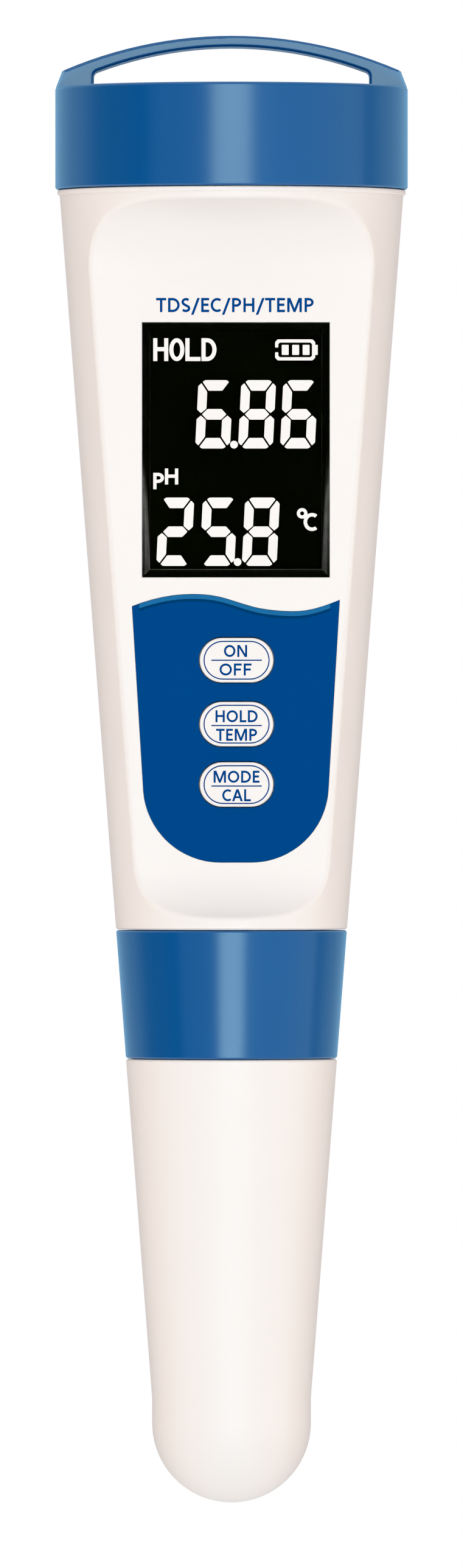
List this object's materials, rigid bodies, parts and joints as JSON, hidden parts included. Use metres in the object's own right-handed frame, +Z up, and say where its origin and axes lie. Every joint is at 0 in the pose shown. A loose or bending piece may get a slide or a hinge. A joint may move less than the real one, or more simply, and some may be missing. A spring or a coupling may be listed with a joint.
{
  "type": "ph test pen",
  "caption": "Tapered pocket water tester with a screw battery cap and lanyard arch, display and keys, plug-in probe module, collar and domed protective cap.",
  "frame": {"origin": "middle of the underside of the lanyard arch, where a lanyard bears", "axes": "+Z up along the pen from the probe to the arch, display facing -Y, +X to the right of someone reading it"},
  "size_m": [0.042, 0.042, 0.1746],
  "materials": {
    "white_plastic": "fine satin",
    "blue_plastic": "satin, light from the mould",
    "overlay_film": "semi-gloss printed film",
    "key_plastic": "satin with blue print",
    "clear_lens": "polished acrylic",
    "black_foam": "adhesive foam",
    "lcd_black": "black liquid crystal glass",
    "light_guide": "diffuse",
    "black_plastic": "moulded",
    "zebra_rubber": "striped elastomer",
    "circuit_board": "solder mask",
    "chip_black": "moulded",
    "silicone": "translucent",
    "steel": "bright",
    "nickel": "bright plated",
    "gold_contacts": "gold plated",
    "seal_rubber": "moulded",
    "module_plastic": "moulded",
    "guard_plastic": "moulded",
    "electrode_glass": "clear",
    "silver": "wire",
    "ceramic": "porous",
    "sponge": "open-cell foam"
  },
  "bodies": {
    "housing": {"housing": "white_plastic", "battery_neck": "white_plastic", "neck_o_ring": "seal_rubber", "battery_tray": "black_plastic", "cell_1": "nickel", "cell_2": "nickel", "cell_3": "nickel", "cell_4": "nickel", "contact_minus": "nickel", "contact_plus": "nickel", "contact_link": "nickel", "display_lens": "clear_lens", "lens_gasket": "black_foam", "lcd_glass": "lcd_black", "lcd_backlight": "light_guide", "zebra_upper": "zebra_rubber", "zebra_lower": "zebra_rubber", "lcd_frame": "black_plastic", "keypad_overlay": "overlay_film", "key_seal": "silicone", "switch_on_off": "black_plastic", "switch_hold_temp": "black_plastic", "switch_mode_cal": "black_plastic", "main_board": "circuit_board", "carrier": "black_plastic", "board_screws": "steel", "microcontroller": "chip_black", "board_components": "chip_black", "sensor_socket": "black_plastic", "socket_leads": "gold_contacts"},
    "pressure_plate": {"pressure_plate": "black_plastic", "bridge_contact_left": "nickel", "bridge_contact_right": "nickel"},
    "battery_cap": {"battery_cap": "blue_plastic"},
    "on_off_key": {"key_on_off": "key_plastic", "plunger_on_off": "black_plastic"},
    "hold_temp_key": {"key_hold_temp": "key_plastic", "plunger_hold_temp": "black_plastic"},
    "mode_cal_key": {"key_mode_cal": "key_plastic", "plunger_mode_cal": "black_plastic"},
    "sensor_module": {"sensor_body": "module_plastic", "module_o_ring": "seal_rubber", "seat_o_ring": "seal_rubber", "module_contact_board": "circuit_board", "module_contact_pins": "gold_contacts", "ph_glass_tube": "electrode_glass", "ph_tube_seal": "seal_rubber", "silver_wire": "silver", "conductivity_pin_left": "steel", "conductivity_pin_right": "steel", "temperature_probe": "steel", "reference_junction": "ceramic", "sensor_guard": "guard_plastic"},
    "collar": {"collar": "blue_plastic", "collar_clip": "steel"},
    "protective_cap": {"protective_cap": "white_plastic", "storage_sponge": "sponge"}
  },
  "joints": [
    {"name": "pressure_plate_rise", "type": "slide", "parent": "housing", "child": "pressure_plate", "axis": [0, 0, 1], "range_m": [0, 0.006]},
    {"name": "battery_cap_turn", "type": "hinge", "parent": "pressure_plate", "child": "battery_cap", "pos_m": [0, 0, -0.01], "axis": [0, 0, 1], "range_deg": [0, 720]},
    {"name": "sensor_module_travel", "type": "slide", "parent": "housing", "child": "sensor_module", "axis": [0, 0, -1], "range_m": [0, 0.006]},
    {"name": "collar_turn", "type": "hinge", "parent": "sensor_module", "child": "collar", "pos_m": [0, 0, -0.112], "axis": [0, 0, -1], "range_deg": [0, 1080]},
    {"name": "protective_cap_pull", "type": "slide", "parent": "sensor_module", "child": "protective_cap", "axis": [0, 0, -1], "range_m": [0, 0.045]},
    {"name": "on_off_press", "type": "slide", "parent": "housing", "child": "on_off_key", "axis": [0, 0.9997, 0.0261], "range_m": [0, 0.0005], "stiffness_N_per_m": 600},
    {"name": "hold_temp_press", "type": "slide", "parent": "housing", "child": "hold_temp_key", "axis": [0, 0.9997, 0.0261], "range_m": [0, 0.0005], "stiffness_N_per_m": 600},
    {"name": "mode_cal_press", "type": "slide", "parent": "housing", "child": "mode_cal_key", "axis": [0, 0.9997, 0.0261], "range_m": [0, 0.0005], "stiffness_N_per_m": 600}
  ],
  "couplings": [
    {"joint": "pressure_plate_rise", "follows": "battery_cap_turn", "m_per_rad": 0.00047746},
    {"joint": "sensor_module_travel", "follows": "collar_turn", "m_per_rad": 0.00031831}
  ]
}
